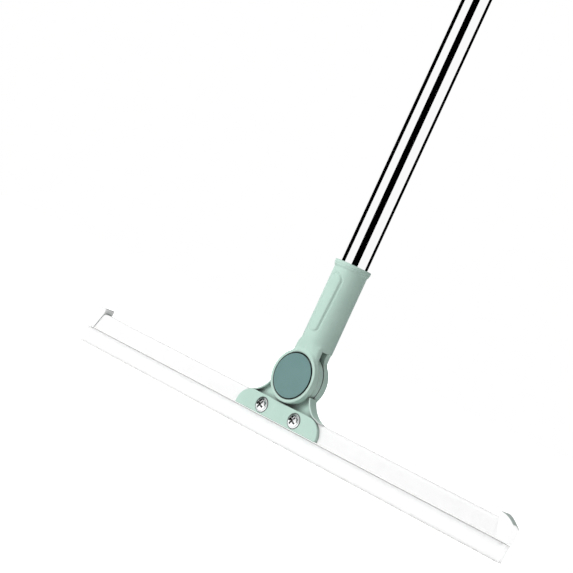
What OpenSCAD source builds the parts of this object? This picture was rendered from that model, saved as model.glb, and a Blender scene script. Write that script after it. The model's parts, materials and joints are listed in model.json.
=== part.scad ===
// Floor squeegee: a stainless pole in three screwed tubes, a moulded collar that ends in a round
// fork, and a wide head with a soft white wiping blade. The head's tongue turns in the fork.
// Origin: centre of the hanging hole. +Z runs up the pole, +X along the head, -Y is the front.

/* [Pole] */
// Outside diameter of the stainless tubes
pole_d = 22; // [19:0.5:25]
// Wall of the tubes
pole_wall = 0.8; // [0.5:0.1:1.4]
// Length of each of the three tubes
tube_len = 375; // [250:5:450]
// Clearance round every insert that is pressed into a tube
insert_fit = 0.05; // [0.02:0.01:0.2]

/* [Hanging cap] */
// Height of the hanging hole above the end of the top tube
eye_rise = 22; // [17:1:40]
// Diameter of the hanging hole
eye_hole_d = 8; // [5:0.5:10]
// Thickness of the flat eye
eye_t = 9; // [5:0.5:14]
// How far the cap's shoulder stands proud of the tube all round
cap_shoulder_proud = 1; // [0.4:0.1:2]
// Height of the cap's shoulder
cap_shoulder_h = 4; // [2:0.5:8]
// Length of the cap's plug inside the tube
cap_plug_len = 24; // [12:1:40]

/* [Grip] */
// Length of the grip sleeve
grip_len = 125; // [80:5:200]
// Wall of the grip sleeve between its ribs
grip_wall = 2.2; // [1.5:0.1:4]
// How far each rib and end bead stands proud of the sleeve
grip_rib_proud = 0.9; // [0.3:0.1:2]
// Width of one rib
grip_rib_w = 5; // [2:0.5:10]
// Spacing of the ribs
grip_rib_pitch = 13; // [11:0.5:25]

/* [Screwed tube joints] */
// Thickness of the plastic flange that shows at each tube end
joint_flange_t = 2.5; // [1:0.5:5]
// Length of each insert inside its tube
joint_insert_len = 34; // [28:1:60]
// Diameter of the threaded stud
stud_d = 12; // [8:0.5:13]
// Length of the threaded stud
stud_len = 22; // [12:1:26]
// Clearance round the stud in its thread, and past its end
stud_fit = 0.1; // [0.05:0.01:0.3]

/* [Collar] */
// Wall of the collar round the pole
collar_wall = 1.6; // [1.2:0.1:3]
// Clearance between the pole and the collar's socket
socket_fit = 0.1; // [0.05:0.01:0.3]
// Height of the collar's top edge above the pivot
collar_h = 90; // [75:1:120]
// Height of the socket's floor above the pivot
socket_floor = 29; // [26:0.5:36]
// How far the lip at the mouth stands proud
lip_proud = 1.2; // [0.5:0.1:3]
// Height of the lip's straight band
lip_h = 2.6; // [1.5:0.1:6]
// Height of the taper under the lip
lip_taper_h = 2.4; // [1:0.1:6]
// Width of the raised oval pad on the front
pad_w = 12; // [8:0.5:16]
// Height of the pad's lower end above the pivot
pad_bottom = 34; // [30:1:40]
// Length of the pad
pad_len = 45.5; // [25:0.5:50]
// How far the pad stands proud
pad_proud = 0.4; // [0.2:0.1:0.8]

/* [Pole screw] */
// Height of the screw at the back of the collar above the pivot
pole_screw_rise = 52; // [46:1:62]
// Diameter of the screw's shank
pole_screw_d = 3.5; // [2.5:0.1:4.5]
// Diameter of the screw's head
pole_screw_head_d = 7; // [6:0.1:9]
// Height of the screw's head
pole_screw_head_h = 2.2; // [1.5:0.1:3]
// Width of the flat seat round the screw's head
screw_seat_w = 1; // [0.5:0.1:2]
// How far the screw's seat stands proud of the collar's back
screw_seat_proud = 0.4; // [0.2:0.1:1]
// Length of the slots of the screw's cross recess
pole_cross_len = 4.6; // [3:0.1:5]
// How deep the screw bites into the plug past the tube's wall
pole_screw_bite = 8; // [5:0.5:9]
// Length of the plug that closes the bottom tube
foot_plug_len = 40; // [36:1:60]
// Thickness of the plug's flange
foot_flange_t = 2; // [1:0.5:3]

/* [Fork and pivot] */
// Diameter of the fork's round cheeks
drum_d = 40; // [36:0.5:46]
// How far the front ring sits behind the collar's front
ring_setback = 1.7; // [0.5:0.1:3]
// Thickness of the front cheek with its ring
front_cheek_t = 5.5; // [5:0.1:7]
// Radius of the rounded edge of the front ring
ring_edge_r = 1.7; // [0.5:0.1:1.8]
// Width of the front ring round the disc
ring_w = 1.8; // [1.7:0.1:4]
// Depth of the recess that holds the disc
disc_recess = 1.6; // [1.4:0.1:2]
// Gap round the disc in its recess
disc_gap = 1.1; // [0.3:0.1:1.5]
// Height of the disc's domed face above its rim
disc_dome = 0.5; // [0.2:0.1:1]
// How far the disc's rim stands proud of the front ring
disc_proud = 0.3; // [0:0.1:0.8]
// Thickness of the disc at its rim
disc_t = 1.2; // [0.8:0.1:1.5]
// How far the skirt behind the disc is set in from its rim
skirt_inset = 1; // [0.5:0.1:1.5]
// Wall of the disc's skirt
skirt_t = 1.5; // [1:0.1:2]
// Height of the crotch between the cheeks above the pivot
step_rise = 24.2; // [23.6:0.1:26]
// Width of the cheeks' necks under the collar
neck_w = 20; // [16:0.5:22]
// Radius of the fillets between necks and cheeks
neck_fillet_r = 8; // [5:0.5:9]
// Thickness of the fillet webs beside the front neck
web_t = 2.3; // [1:0.1:4]
// Thickness of the back cheek
back_cheek_t = 4.5; // [4.2:0.1:7]
// Thickness of the back cheek's floor under the flat washer
cheek_floor_t = 2.6; // [2:0.1:3.6]
// Depth of the boss behind the back cheek
boss_depth = 5; // [3:0.1:7]
// Wall of the boss round the nut's pocket
boss_wall = 3; // [2:0.1:5]
// Gap round the washers and the nut in the boss
boss_gap = 0.5; // [0.3:0.1:1]
// Thickness of the flat washer under the disc spring
washer_t = 1; // [0.6:0.1:1.5]
// Thickness of the disc spring's metal
spring_t = 0.7; // [0.5:0.1:1]
// Height of the disc spring's cone
spring_cone = 0.6; // [0.3:0.1:1]
// Shank diameter of the pivot bolt
bolt_d = 6; // [5:0.5:8]
// Width across the flats of the bolt's head and nut
bolt_af = 10; // [9:0.5:12]
// Height of the bolt's thin head
bolt_head_h = 1.8; // [1.4:0.1:2.6]
// Running clearance of the bolt in the bracket's tongue
bolt_run = 0.08; // [0.02:0.01:0.1]
// Clearance of the bolt's head in its hexagonal pocket
bolt_pocket_fit = 0.1; // [0.05:0.01:0.3]
// Thickness of the friction ring between tongue and back cheek
friction_t = 2.1; // [1:0.1:3]
// Outside diameter of the friction ring
friction_d = 24; // [16:0.5:32]
// Height of the lock nut
nut_h = 5; // [4:0.1:7]
// Height of the lock nut's hexagonal part
nut_hex_h = 3.5; // [2:0.1:3.8]
// How far the nut's round end is set in from its flats
nut_collar_inset = 0.4; // [0.2:0.1:0.6]
// How far the bolt stands out past its nut
bolt_past_nut = 1; // [0.5:0.1:2]

/* [Bracket] */
// Thickness of the bracket's round tongue
tongue_t = 4.7; // [4:0.1:5.5]
// Side play between the tongue and the front cheek
tongue_gap = 0.2; // [0.1:0.05:0.5]
// Gap between the cheeks and the top of the rail
drum_over_rail = 2.5; // [2:0.1:5]
// Half of the foot's spread along the rail
foot_half = 41; // [37:0.5:46]
// Radius of the foot's hollow flare
flare_r = 22.3; // [19:0.1:24]
// Height of the foot's tip where its feather edge is cut off
foot_tip_h = 0.2; // [0.2:0.1:1]
// How far below the pivot the foot's rims end
rim_drop = 10; // [8:0.5:12]
// Width of the rims round the pockets
rim_w = 1.3; // [1:0.1:3]
// How far the foot stands out in front of the rail
foot_overhang = 1.8; // [1.2:0.1:4]
// Depth of the pockets beside the cheeks
pocket_depth = 3; // [2:0.1:4]
// Thickness of the pockets' floor over the clamp plate
pocket_floor_t = 1; // [0.6:0.1:1.4]
// Gap between the turning cheeks and the foot
drum_clear = 0.7; // [0.4:0.1:1]
// Depth of the wide part of the foot
foot_depth = 8.1; // [7.5:0.1:10]
// How far the gusset behind the foot is set in from the foot's flare
web_inset = 3.7; // [2:0.1:5]
// Half width of the leg behind the rail
leg_half = 27; // [23:0.5:30]
// Thickness of the leg
leg_t = 3; // [2:0.1:5]
// Radius of the leg's lower corners
leg_corner_r = 5; // [2:0.5:6]

/* [Clamp] */
// Half length of the clamp plate along its lower edge
plate_half = 41.9; // [35:0.1:50]
// Thickness of the clamp plate
plate_t = 3.6; // [3:0.1:6]
// Radius of the plate's upper corners
plate_corner_r = 12.9; // [6:0.1:13.2]
// Gap between the cheeks and the plate's top edge
drum_over_plate = 1.1; // [0.6:0.1:1.8]
// How far the plate's lower edge stays above the seam
plate_above_seam = 0.4; // [0:0.1:2]
// Clearance of the plate in the foot's front
plate_fit = 0.15; // [0.05:0.05:0.3]
// Spacing of the clamp screws
screw_pitch = 33.8; // [26:0.1:40]
// Depth of the clamp screws below the top of the rail
screw_drop = 6.2; // [5:0.1:6.6]
// Shank diameter of the clamp screws
screw_d = 4; // [3:0.1:4.2]
// Clearance of the screws in their holes
screw_fit = 0.15; // [0.05:0.01:0.3]
// Diameter of the screw heads
screw_head_d = 9.4; // [8:0.1:10]
// Height of the screw heads
screw_head_h = 3; // [2:0.1:4]
// Diameter of the shallow sink round each screw head
screw_sink_d = 11.7; // [10.4:0.1:13]
// Depth of the sink in the plate
screw_sink = 0.6; // [0.2:0.1:1.2]
// Height of the rounded crown of the screw heads
screw_crown_h = 1.5; // [0.8:0.1:1.8]
// Width of the cross recess's slots
cross_w = 1.4; // [0.8:0.1:2]
// Length of the cross recess's slots
cross_len = 5.6; // [4:0.1:6.5]
// Depth of the cross recess
cross_depth = 1.6; // [0.8:0.1:1.8]
// Width across the flats of the clamp nuts
clamp_nut_af = 7; // [6.5:0.1:9]
// Height of the clamp nuts
clamp_nut_h = 3.2; // [2.4:0.1:5]
// How far the screws stand out past their nuts
screw_past_nut = 1.2; // [0.5:0.1:3]

/* [Rail and blade] */
// Length of the head
head_len = 440; // [350:5:600]
// Height of the rail above the seam
rail_h = 13.3; // [12.6:0.1:16]
// Thickness of the rail from front to back
rail_t = 8; // [7:0.1:10]
// Distance of the rail's front from the pole's axis
rail_front = 5; // [4:0.1:6]
// Radius of the rail's upper edges
rail_edge_r = 2; // [0.5:0.1:3]
// Diameter of the blade's bead in the rail
bead_d = 3.4; // [2.5:0.1:4]
// Thickness of the blade's neck in the rail's mouth
bead_neck_t = 2; // [1.4:0.1:2.2]
// Height of the bead's centre above the rail's lower face
bead_rise = 2.5; // [2.4:0.1:3]
// Clearance of the bead and neck in the rail
bead_fit = 0.1; // [0.05:0.01:0.3]
// Height of the shadow gap between rail and blade
seam_gap = 0.8; // [0.4:0.1:1.5]
// Height of the wiping lip below the shadow gap
lip_blade_h = 12.9; // [10:0.1:30]
// Thickness of the lip at its root
lip_root_t = 5.2; // [4:0.1:6.5]
// Thickness of the lip at its wiping edge
lip_tip_t = 2.4; // [1.2:0.1:4]
// How far the lip's front sits behind the rail's front
lip_back = 0.3; // [0:0.1:1]

/* [End caps] */
// Width of an end cap at its top
cap_w = 13; // [10:0.1:20]
// Width of an end cap at the seam
cap_foot_w = 8; // [6:0.1:12]
// Height of the cap's inner corner above the rail
cap_rise = 4.4; // [2.5:0.1:8]
// Thickness of the cap's outer end wall
cap_end_t = 3; // [1.5:0.1:5]
// How far the cap stands proud of the rail in front and behind
cap_proud = 1; // [0.6:0.1:2]
// Clearance of the rail in the cap
cap_fit = 0.1; // [0.05:0.01:0.3]
// Radius of the cap's sloping top
cap_top_r = 18; // [16:0.5:30]

/* [Hidden] */

$fn = 72;
// Overshoot of every cutting body past the face that it opens
cut = 1;
// How far two bodies of one piece run into each other where they join
overlap = 1;
// Angle between the points of a rounded edge
arc_step = 10;
// Number of steps along a long, flat arc
arc_count = 12;
// Angle from the axis at which the crown of a screw head begins
crown_start = 30;

mint = "#c4dcd2";
teal = "#789795";
steel = "#c9cccd";
zinc = "#b5b8ba";
white = "#f6f7f6";
nylon = "#e6e2d6";

pole_r = pole_d / 2;
tube_bore_r = pole_r - pole_wall;
insert_r = tube_bore_r - insert_fit;

// Heights down the pole, from the hanging hole
upper_top_z = -eye_rise;
upper_bottom_z = upper_top_z - tube_len;
middle_top_z = upper_bottom_z - 2 * joint_flange_t;
middle_bottom_z = middle_top_z - tube_len;
lower_top_z = middle_bottom_z - 2 * joint_flange_t;
lower_bottom_z = lower_top_z - tube_len;
pivot_z = lower_bottom_z - foot_flange_t - socket_floor;

// Depths from front to back, from the pole's axis
collar_r = pole_r + socket_fit + collar_wall;
drum_r = drum_d / 2;
ring_front_y = -collar_r + ring_setback;
slot_front_y = ring_front_y + front_cheek_t;
tongue_front_y = slot_front_y + tongue_gap;
tongue_back_y = tongue_front_y + tongue_t;
slot_back_y = tongue_back_y + friction_t;
cheek_back_y = slot_back_y + back_cheek_t;
boss_back_y = cheek_back_y + boss_depth;
disc_floor_y = ring_front_y + disc_recess;
disc_r = drum_r - ring_w - disc_gap;
head_seat_y = disc_floor_y + bolt_head_h;
washer_seat_y = slot_back_y + cheek_floor_t;
spring_seat_y = washer_seat_y + washer_t;
nut_seat_y = spring_seat_y + spring_t + spring_cone;
bolt_r = bolt_d / 2;
nut_corner_r = bolt_af / 2 / cos(30);
washer_r = nut_corner_r + boss_gap;
boss_bore_r = washer_r + boss_gap;
rail_front_y = -rail_front;
rail_back_y = rail_front_y + rail_t;
plate_front_y = rail_front_y - plate_t;
foot_front_y = rail_front_y - foot_overhang;
foot_back_y = foot_front_y + foot_depth;
leg_back_y = rail_back_y + leg_t;
screw_seat_y = plate_front_y + screw_sink;

// Heights of the head, from the pivot
rail_top = -drum_r - drum_over_rail;
seam = rail_top - rail_h;
plate_top = -drum_r - drum_over_plate;
plate_bottom = seam + plate_above_seam;
screw_z = rail_top - screw_drop;
bead_z = seam + bead_rise;
lip_top = seam - seam_gap;
lip_bottom = lip_top - lip_blade_h;
flare_z = rail_top + flare_r;
rail_end_x = head_len / 2 - cap_end_t;

// A round bar along Y, from y0 to y1
module bar_y(r, y0, y1) {
    translate([0, y1, 0])
        rotate([90, 0, 0])
            cylinder(r = r, h = y1 - y0);
}

// A regular hexagonal bar along Y with the given width across its flats
module hex_bar_y(across_flats, y0, y1) {
    translate([0, y1, 0])
        rotate([90, 0, 0])
            cylinder(r = across_flats / 2 / cos(30), h = y1 - y0, $fn = 6);
}

// A block between two corners
module block(low, high) {
    translate(low)
        cube(high - low);
}

// Puts the children, drawn round the pivot, at their place on the pole
module at_pivot() {
    translate([0, 0, pivot_z])
        children();
}

// A shape turned round the pivot's axis from points of radius and depth along Y
module turned_y(points) {
    rotate([-90, 0, 0])
        rotate_extrude()
            polygon(points);
}

module tube(top_z) {
    translate([0, 0, top_z - tube_len])
        difference() {
            cylinder(r = pole_r, h = tube_len);
            translate([0, 0, -cut])
                cylinder(r = tube_bore_r, h = tube_len + 2 * cut);
        }
}

module hang_cap() {
    shoulder_r = pole_r + cap_shoulder_proud;
    color(mint)
        difference() {
            union() {
                translate([0, 0, upper_top_z - cap_plug_len])
                    cylinder(r = insert_r, h = cap_plug_len);
                translate([0, 0, upper_top_z])
                    cylinder(r = shoulder_r, h = cap_shoulder_h);
                intersection() {
                    union() {
                        translate([0, 0, upper_top_z])
                            cylinder(r = shoulder_r, h = eye_rise);
                        sphere(r = shoulder_r);
                    }
                    block([-shoulder_r - cut, -eye_t / 2, upper_top_z],
                        [shoulder_r + cut, eye_t / 2, shoulder_r + cut]);
                }
            }
            bar_y(eye_hole_d / 2, -eye_t / 2 - cut, eye_t / 2 + cut);
        }
}

module grip_sleeve() {
    bore_r = pole_r + socket_fit;
    sleeve_r = bore_r + grip_wall;
    rib_r = sleeve_r + grip_rib_proud;
    grip_top_z = upper_top_z;
    rib_count = floor((grip_len - grip_rib_w) / grip_rib_pitch) + 1;
    rib_span = (rib_count - 1) * grip_rib_pitch + grip_rib_w;
    first_rib_z = grip_top_z - (grip_len - rib_span) / 2 - grip_rib_w;
    color(mint)
        difference() {
            union() {
                translate([0, 0, grip_top_z - grip_len])
                    cylinder(r = sleeve_r, h = grip_len);
                for (i = [0 : rib_count - 1])
                    translate([0, 0, first_rib_z - i * grip_rib_pitch])
                        cylinder(r = rib_r, h = grip_rib_w);
            }
            translate([0, 0, grip_top_z - grip_len - cut])
                cylinder(r = bore_r, h = grip_len + 2 * cut);
        }
}

// The male half of a tube joint: an insert, a flange and a stud that points down
module joint_plug(tube_end_z) {
    color(nylon)
        union() {
            translate([0, 0, tube_end_z])
                cylinder(r = insert_r, h = joint_insert_len);
            translate([0, 0, tube_end_z - joint_flange_t])
                cylinder(r = pole_r, h = joint_flange_t);
            translate([0, 0, tube_end_z - joint_flange_t - stud_len])
                cylinder(r = stud_d / 2, h = stud_len);
        }
}

// The female half of a tube joint: an insert with a flange and a blind threaded bore
module joint_socket(tube_end_z) {
    color(nylon)
        difference() {
            union() {
                translate([0, 0, tube_end_z - joint_insert_len])
                    cylinder(r = insert_r, h = joint_insert_len);
                translate([0, 0, tube_end_z])
                    cylinder(r = pole_r, h = joint_flange_t);
            }
            translate([0, 0, tube_end_z + joint_flange_t - stud_len - stud_fit])
                cylinder(r = stud_d / 2 + stud_fit, h = stud_len + stud_fit + cut);
        }
}

module upper_tube() {
    color(steel)
        tube(upper_top_z);
}

module middle_tube() {
    color(steel)
        tube(middle_top_z);
}

module lower_tube() {
    color(steel)
        difference() {
            tube(lower_top_z);
            at_pivot()
                translate([0, 0, pole_screw_rise])
                    bar_y(pole_screw_d / 2 + screw_fit, 0, pole_r + cut);
        }
}

module foot_plug() {
    color(nylon)
        difference() {
            union() {
                translate([0, 0, lower_bottom_z])
                    cylinder(r = insert_r, h = foot_plug_len);
                translate([0, 0, lower_bottom_z - foot_flange_t])
                    cylinder(r = pole_r, h = foot_flange_t);
            }
            at_pivot()
                translate([0, 0, pole_screw_rise])
                    bar_y(pole_screw_d / 2, tube_bore_r - pole_screw_bite, pole_r);
        }
}

module pole_screw() {
    seat_y = collar_r + screw_seat_proud;
    head_end_y = seat_y + pole_screw_head_h;
    color(zinc)
        at_pivot()
            translate([0, 0, pole_screw_rise])
                difference() {
                    union() {
                        bar_y(pole_screw_d / 2, tube_bore_r - pole_screw_bite, seat_y);
                        bar_y(pole_screw_head_d / 2, seat_y, head_end_y);
                    }
                    cross_recess(head_end_y - cross_depth, head_end_y + cut, pole_cross_len);
                }
}

// The cross-shaped driver recess of a screw head, cut between two depths
module cross_recess(y0, y1, slot_len) {
    for (turn = [0, 90])
        rotate([0, turn, 0])
            block([-slot_len / 2, y0, -cross_w / 2], [slot_len / 2, y1, cross_w / 2]);
}

// The neck of a cheek between two depths, with a fillet on each side where it meets the cheek
module neck(y0, y1) {
    neck_half = neck_w / 2;
    fillet_x = neck_half + neck_fillet_r;
    fillet_z = sqrt(pow(drum_r + neck_fillet_r, 2) - pow(fillet_x, 2));
    block([-neck_half, y0, 0], [neck_half, y1, step_rise + overlap]);
    translate([0, y1, 0])
        rotate([90, 0, 0])
            linear_extrude(y1 - y0)
                difference() {
                    polygon([[0, 0], [fillet_x, fillet_z], [-fillet_x, fillet_z]]);
                    for (side = [-1, 1])
                        translate([side * fillet_x, fillet_z])
                            circle(r = neck_fillet_r);
                }
}

// The front cheek: a flat back, a round front edge and a neck that keeps the collar's round front
module front_cheek() {
    round_y = ring_front_y + ring_edge_r;
    round_r = drum_r - ring_edge_r;
    turned_y(concat([[0, slot_front_y], [0, ring_front_y]],
        [for (a = [0 : arc_step : 90]) [round_r + ring_edge_r * sin(a), round_y - ring_edge_r * cos(a)]],
        [[drum_r, slot_front_y]]));
    neck(slot_front_y - web_t, slot_front_y);
    intersection() {
        cylinder(r = collar_r, h = step_rise + overlap);
        block([-neck_w / 2, -collar_r, 0], [neck_w / 2, slot_front_y, step_rise + overlap]);
    }
}

// The back cheek with the boss that holds the washers and the nut
module back_cheek() {
    bar_y(drum_r, slot_back_y, cheek_back_y);
    bar_y(boss_bore_r + boss_wall, cheek_back_y, boss_back_y);
    neck(slot_back_y, cheek_back_y);
}

module swivel_collar() {
    lip_r = collar_r + lip_proud;
    pad_r = pad_w / 2;
    color(mint)
        at_pivot()
            difference() {
                union() {
                    translate([0, 0, step_rise])
                        cylinder(r = collar_r, h = collar_h - step_rise);
                    translate([0, 0, collar_h - lip_h])
                        cylinder(r = lip_r, h = lip_h);
                    translate([0, 0, collar_h - lip_h - lip_taper_h])
                        cylinder(r1 = collar_r, r2 = lip_r, h = lip_taper_h);
                    front_cheek();
                    back_cheek();
                    // The raised oval pad follows the collar's round front
                    intersection() {
                        translate([0, 0, pad_bottom])
                            cylinder(r = collar_r + pad_proud, h = pad_len);
                        union() {
                            block([-pad_r, -lip_r - cut, pad_bottom + pad_r],
                                [pad_r, 0, pad_bottom + pad_len - pad_r]);
                            for (end_z = [pad_bottom + pad_r, pad_bottom + pad_len - pad_r])
                                translate([0, 0, end_z])
                                    bar_y(pad_r, -lip_r - cut, 0);
                        }
                    }
                    // A round seat for the pole screw at the back
                    translate([0, 0, pole_screw_rise])
                        bar_y(pole_screw_head_d / 2 + screw_seat_w, pole_r, collar_r + screw_seat_proud);
                }
                translate([0, 0, socket_floor])
                    cylinder(r = pole_r + socket_fit, h = collar_h);
                bar_y(disc_r + disc_gap, -collar_r - cut, disc_floor_y);
                hex_bar_y(bolt_af + 2 * bolt_pocket_fit, disc_floor_y - cut, head_seat_y);
                bar_y(bolt_r + bolt_run, head_seat_y - cut, washer_seat_y + cut);
                bar_y(boss_bore_r, washer_seat_y, boss_back_y + cut);
                translate([0, 0, pole_screw_rise])
                    bar_y(pole_screw_d / 2 + screw_fit, 0, collar_r + screw_seat_proud + cut);
            }
}

module disc_cap() {
    rim_y = ring_front_y - disc_proud;
    back_y = rim_y + disc_t;
    skirt_out = disc_r - skirt_inset;
    skirt_in = skirt_out - skirt_t;
    // The face is an arc of a large circle that rises by the dome's height at the middle
    face_r = (disc_r * disc_r + disc_dome * disc_dome) / (2 * disc_dome);
    face_step = asin(disc_r / face_r) / arc_count;
    face_y = rim_y - disc_dome + face_r;
    color(teal)
        at_pivot()
            turned_y(concat(
                [for (i = [0 : arc_count])
                    [face_r * sin(face_step * i), face_y - face_r * cos(face_step * i)]],
                [[disc_r, back_y], [skirt_out, back_y], [skirt_out, disc_floor_y],
                    [skirt_in, disc_floor_y], [skirt_in, back_y], [0, back_y]]));
}

module pivot_bolt() {
    color(zinc)
        at_pivot()
            union() {
                hex_bar_y(bolt_af, disc_floor_y, head_seat_y);
                bar_y(bolt_r, head_seat_y, nut_seat_y + nut_h + bolt_past_nut);
            }
}

module friction_ring() {
    color(nylon)
        at_pivot()
            difference() {
                bar_y(friction_d / 2, tongue_back_y, slot_back_y);
                bar_y(bolt_r + bolt_run, tongue_back_y - cut, slot_back_y + cut);
            }
}

module thrust_washer() {
    color(zinc)
        at_pivot()
            difference() {
                bar_y(washer_r, washer_seat_y, spring_seat_y);
                bar_y(bolt_r + bolt_run, washer_seat_y - cut, spring_seat_y + cut);
            }
}

module disc_spring() {
    bore = bolt_r + bolt_run;
    color(steel)
        at_pivot()
            turned_y([[bore, spring_seat_y + spring_cone], [washer_r, spring_seat_y],
                [washer_r, spring_seat_y + spring_t], [bore, nut_seat_y]]);
}

module lock_nut() {
    hex_end_y = nut_seat_y + nut_hex_h;
    color(zinc)
        at_pivot()
            difference() {
                union() {
                    hex_bar_y(bolt_af, nut_seat_y, hex_end_y);
                    bar_y(bolt_af / 2 - nut_collar_inset, hex_end_y, nut_seat_y + nut_h);
                }
                bar_y(bolt_r + bolt_run, nut_seat_y - cut, nut_seat_y + nut_h + cut);
            }
}

// Cuts both hollow flares, grown inwards by the given inset, out of the children
module flared(inset, y0, y1) {
    difference() {
        children();
        for (side = [-1, 1])
            translate([side * foot_half, 0, flare_z])
                bar_y(flare_r + inset, y0 - cut, y1 + cut);
    }
}

module swivel_bracket() {
    tip_x = foot_half - sqrt(flare_r * flare_r - pow(flare_r - foot_tip_h, 2));
    room_r = drum_r + drum_clear;
    pocket_back_y = foot_front_y + pocket_depth;
    color(mint)
        at_pivot()
            difference() {
                union() {
                    // The foot that straddles the rail's top
                    flared(0, foot_front_y, foot_back_y)
                        block([-tip_x, foot_front_y, rail_top], [tip_x, foot_back_y, -rim_drop]);
                    // The round tongue that turns between the cheeks
                    bar_y(drum_r, tongue_front_y, tongue_back_y);
                    // The gusset behind the foot, and the leg that it carries behind the rail
                    flared(web_inset, foot_back_y, leg_back_y)
                        block([-leg_half, foot_back_y, rail_top], [leg_half, leg_back_y, -rim_drop]);
                    block([-leg_half, rail_back_y, seam + leg_corner_r], [leg_half, leg_back_y, rail_top]);
                    block([leg_corner_r - leg_half, rail_back_y, seam],
                        [leg_half - leg_corner_r, leg_back_y, rail_top]);
                    for (side = [-1, 1])
                        translate([side * (leg_half - leg_corner_r), 0, seam + leg_corner_r])
                            bar_y(leg_corner_r, rail_back_y, leg_back_y);
                }
                // Room for the cheeks in front of the tongue and behind it
                bar_y(room_r, foot_front_y - cut, tongue_front_y);
                bar_y(room_r, tongue_back_y, leg_back_y + cut);
                // The pockets beside the front cheek leave the tongue whole
                difference() {
                    flared(rim_w, foot_front_y - cut, pocket_back_y)
                        block([-foot_half, foot_front_y - cut, plate_top + pocket_floor_t],
                            [foot_half, pocket_back_y, -rim_drop + cut]);
                    bar_y(drum_r, foot_front_y - 2 * cut, pocket_back_y + cut);
                }
                // The clamp plate's top edge sits under the foot's front
                clamp_outline(plate_fit, foot_front_y - cut, rail_front_y);
                bar_y(bolt_r + bolt_run, tongue_front_y - cut, tongue_back_y + cut);
                for (side = [-1, 1])
                    translate([side * screw_pitch / 2, 0, screw_z])
                        bar_y(screw_d / 2 + screw_fit, rail_back_y - cut, leg_back_y + cut);
            }
}

// The clamp plate's outline between two depths, grown by the given clearance at the top and sides
module clamp_outline(grow, y0, y1) {
    half = plate_half + grow;
    top = plate_top + grow;
    corner_r = plate_corner_r + grow;
    corner_x = half - corner_r;
    corner_z = top - corner_r;
    block([-corner_x, y0, plate_bottom], [corner_x, y1, top]);
    block([-half, y0, plate_bottom], [half, y1, corner_z]);
    intersection() {
        block([-half, y0, plate_bottom], [half, y1, top]);
        for (side = [-1, 1])
            translate([side * corner_x, 0, corner_z])
                bar_y(corner_r, y0, y1);
    }
}

module clamp_plate() {
    color(mint)
        at_pivot()
            difference() {
                clamp_outline(0, plate_front_y, rail_front_y);
                for (side = [-1, 1])
                    translate([side * screw_pitch / 2, 0, screw_z]) {
                        bar_y(screw_d / 2 + screw_fit, plate_front_y - cut, rail_front_y + cut);
                        bar_y(screw_sink_d / 2, plate_front_y - cut, screw_seat_y);
                    }
            }
}

module clamp_screws() {
    head_front_y = screw_seat_y - screw_head_h;
    end_y = leg_back_y + clamp_nut_h + screw_past_nut;
    head_r = screw_head_d / 2;
    // The pan head: a low cylinder under a rounded crown
    crown_rise = screw_crown_h / cos(crown_start);
    color(zinc)
        at_pivot()
            for (side = [-1, 1])
                translate([side * screw_pitch / 2, 0, screw_z])
                    difference() {
                        union() {
                            turned_y(concat([[0, head_front_y]],
                                [for (a = [crown_start : arc_step : 90])
                                    [head_r * sin(a), head_front_y + screw_crown_h - crown_rise * cos(a)]],
                                [[head_r, screw_seat_y], [0, screw_seat_y]]));
                            bar_y(screw_d / 2, screw_seat_y, end_y);
                        }
                        cross_recess(head_front_y - cut, head_front_y + cross_depth, cross_len);
                    }
}

module clamp_nuts() {
    color(zinc)
        at_pivot()
            for (side = [-1, 1])
                translate([side * screw_pitch / 2, 0, screw_z])
                    difference() {
                        hex_bar_y(clamp_nut_af, leg_back_y, leg_back_y + clamp_nut_h);
                        bar_y(screw_d / 2, leg_back_y - cut, leg_back_y + clamp_nut_h + cut);
                    }
}

// The rail's outside, grown by the given amount all round and drawn to half the given length
module rail_body(half_len, grow) {
    edge_r = rail_edge_r;
    front = rail_front_y - grow;
    back = rail_back_y + grow;
    top = rail_top + grow;
    block([-half_len, front, seam - grow], [half_len, back, top - edge_r]);
    block([-half_len, front + edge_r, seam - grow], [half_len, back - edge_r, top]);
    for (edge_y = [front + edge_r, back - edge_r])
        translate([-half_len, edge_y, top - edge_r])
            rotate([0, 90, 0])
                cylinder(r = edge_r, h = 2 * half_len);
}

// The bead and neck along the head's length, grown by the given clearance
module bead_and_neck(half_len, grow, neck_bottom) {
    mid_y = (rail_front_y + rail_back_y) / 2;
    neck_half = bead_neck_t / 2 + grow;
    translate([-half_len, mid_y, bead_z])
        rotate([0, 90, 0])
            cylinder(r = bead_d / 2 + grow, h = 2 * half_len);
    block([-half_len, mid_y - neck_half, neck_bottom], [half_len, mid_y + neck_half, bead_z]);
}

module blade_rail() {
    color(white)
        at_pivot()
            difference() {
                rail_body(rail_end_x, 0);
                bead_and_neck(rail_end_x + cut, bead_fit, seam - cut);
                for (side = [-1, 1])
                    translate([side * screw_pitch / 2, 0, screw_z])
                        bar_y(screw_d / 2 + screw_fit, rail_front_y - cut, rail_back_y + cut);
            }
}

module blade() {
    lip_front_y = rail_front_y + lip_back;
    color(white)
        at_pivot()
            union() {
                bead_and_neck(rail_end_x, 0, lip_top - overlap);
                translate([-head_len / 2, 0, 0])
                    rotate([90, 0, 90])
                        linear_extrude(head_len)
                            polygon([[lip_front_y, lip_top], [lip_front_y + lip_root_t, lip_top],
                                [lip_front_y + lip_tip_t, lip_bottom], [lip_front_y, lip_bottom]]);
            }
}

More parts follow.
